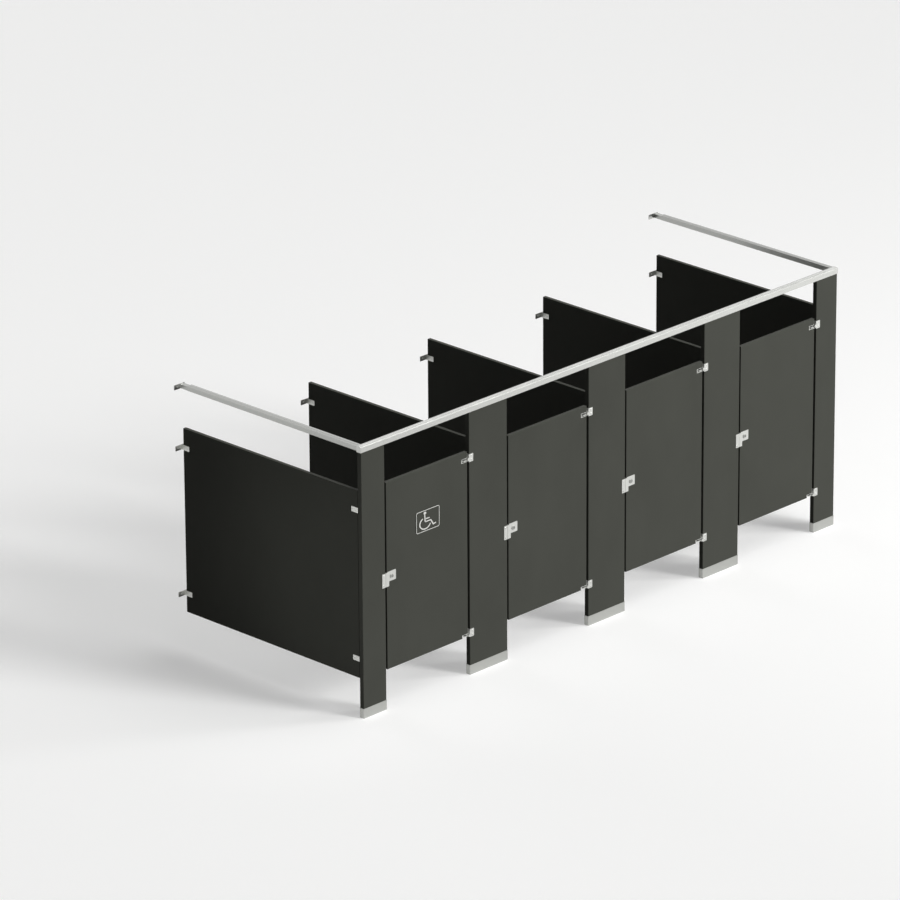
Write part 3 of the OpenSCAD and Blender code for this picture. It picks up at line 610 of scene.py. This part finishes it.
def floor():
    """A large pale floor that keeps the object's shadow. Seen directly, it glows a little, which
    whitens it, and it bounces less light than it shows."""
    mesh = bmesh.new()
    bmesh.ops.create_grid(mesh, x_segments=1, y_segments=1, size=FLOOR_SIZE / 2)
    data = bpy.data.meshes.new("floor")
    mesh.to_mesh(data)
    mesh.free()
    obj = bpy.data.objects.new("floor", data)
    obj.location.z = -FLOOR_DROP
    bpy.context.scene.collection.objects.link(obj)
    material = bpy.data.materials.new("floor_pale")
    material.use_nodes = True
    tree = material.node_tree
    tree.nodes.clear()
    seen = seen_directly(tree)
    surface = add(tree, "BsdfDiffuse")
    tree.links.new(tint(tree, seen, FLOOR_BOUNCE, FLOOR_TONE), surface.inputs["Color"])
    glow = add(tree, "Emission")
    tree.links.new(ramp(tree, seen, 0, FLOOR_GLOW, start=0, end=1), glow.inputs["Strength"])
    both = add(tree, "AddShader")
    tree.links.new(surface.outputs["BSDF"], both.inputs[0])
    tree.links.new(glow.outputs["Emission"], both.inputs[1])
    output = add(tree, "OutputMaterial")
    tree.links.new(both.outputs["Shader"], output.inputs["Surface"])
    data.materials.append(material)


def world():
    """A white sky to look at, which lights the object only softly."""
    made = bpy.data.worlds.new("sky")
    bpy.context.scene.world = made
    made.use_nodes = True
    tree = made.node_tree
    background = tree.nodes["Background"]
    background.inputs["Color"].default_value = (1, 1, 1, 1)
    strength = ramp(tree, seen_directly(tree), SKY_LIGHT, 1, start=0, end=1)
    tree.links.new(strength, background.inputs["Strength"])


def pointing(azimuth, elevation):
    """The rotation of a lamp or camera that stands at azimuth and looks down by elevation."""
    around = Matrix.Rotation(math.radians(azimuth), 4, "Z")
    return around @ Matrix.Rotation(math.radians(90 - elevation), 4, "X")


def aimed(place, target):
    """The placing of a lamp at place that shines on target."""
    way = Vector(target) - Vector(place)
    return Matrix.Translation(place) @ way.to_track_quat("-Z", "Y").to_matrix().to_4x4()


def lamp(name, kind, strength, placing):
    data = bpy.data.lights.new(name, kind)
    data.energy = strength
    obj = bpy.data.objects.new(name, data)
    obj.matrix_world = placing
    bpy.context.scene.collection.objects.link(obj)
    return obj


def far_lamp(name, azimuth, elevation, spread, strength):
    """A large soft lamp so far away that it lights everything alike."""
    lamp(name, "SUN", strength, pointing(azimuth, elevation)).data.angle = math.radians(spread)


def side_lamp(name, power, in_highlights):
    """A round panel to the right of the row, which lights that end more than the other."""
    made = lamp(name, "AREA", power, aimed(SIDE_PLACE, SIDE_AIM))
    made.data.shape = "DISK"
    made.data.size = SIDE_SIZE
    made.visible_glossy = in_highlights


def end_lamp():
    """A spot in line with the fronts, which lights the outer face of the first panel softly."""
    data = lamp("end_light", "SPOT", END_POWER, aimed(END_PLACE, END_AIM)).data
    data.spot_size = math.radians(END_SPREAD)
    data.spot_blend = 1
    data.shadow_soft_size = END_SIZE


def camera():
    data = bpy.data.cameras.new("camera")
    data.sensor_width = SENSOR
    data.lens = CAMERA_LENS
    data.clip_start = CAMERA_NEAR
    data.clip_end = CAMERA_FAR
    obj = bpy.data.objects.new("camera", data)
    roll = Matrix.Rotation(math.radians(-CAMERA_ROLL), 4, "Z")
    turn = pointing(-CAMERA_AZIMUTH, CAMERA_ELEVATION) @ roll
    obj.matrix_world = Matrix.Translation(CAMERA_PLACE) @ turn
    bpy.context.scene.collection.objects.link(obj)
    bpy.context.scene.camera = obj


camera()
far_lamp("key_light", KEY_AZIMUTH, KEY_ELEVATION, KEY_SPREAD, KEY_STRENGTH)
far_lamp("top_light", TOP_AZIMUTH, TOP_ELEVATION, TOP_SPREAD, TOP_STRENGTH)
far_lamp("back_light", BACK_AZIMUTH, BACK_ELEVATION, BACK_SPREAD, BACK_STRENGTH)
side_lamp("side_light", SIDE_POWER, False)
side_lamp("glint_light", GLINT_POWER, True)
end_lamp()
world()
floor()
bpy.context.scene.view_settings.view_transform = "Standard"

materials = finishes()
dress_cad(materials)
bolts("panel_bolts", X, True, materials["fastener"])
bolts("hinge_bolts", Y, True, materials["fastener"])
bolts("keeper_bolts", Y, True, materials["fastener"])
bolts("trim_screws", Y, False, materials["fastener"])
sign_plate(materials["board"])
sign_figure(enamel("sign_white", SIGN_COLOUR, SIGN_ROUGH))
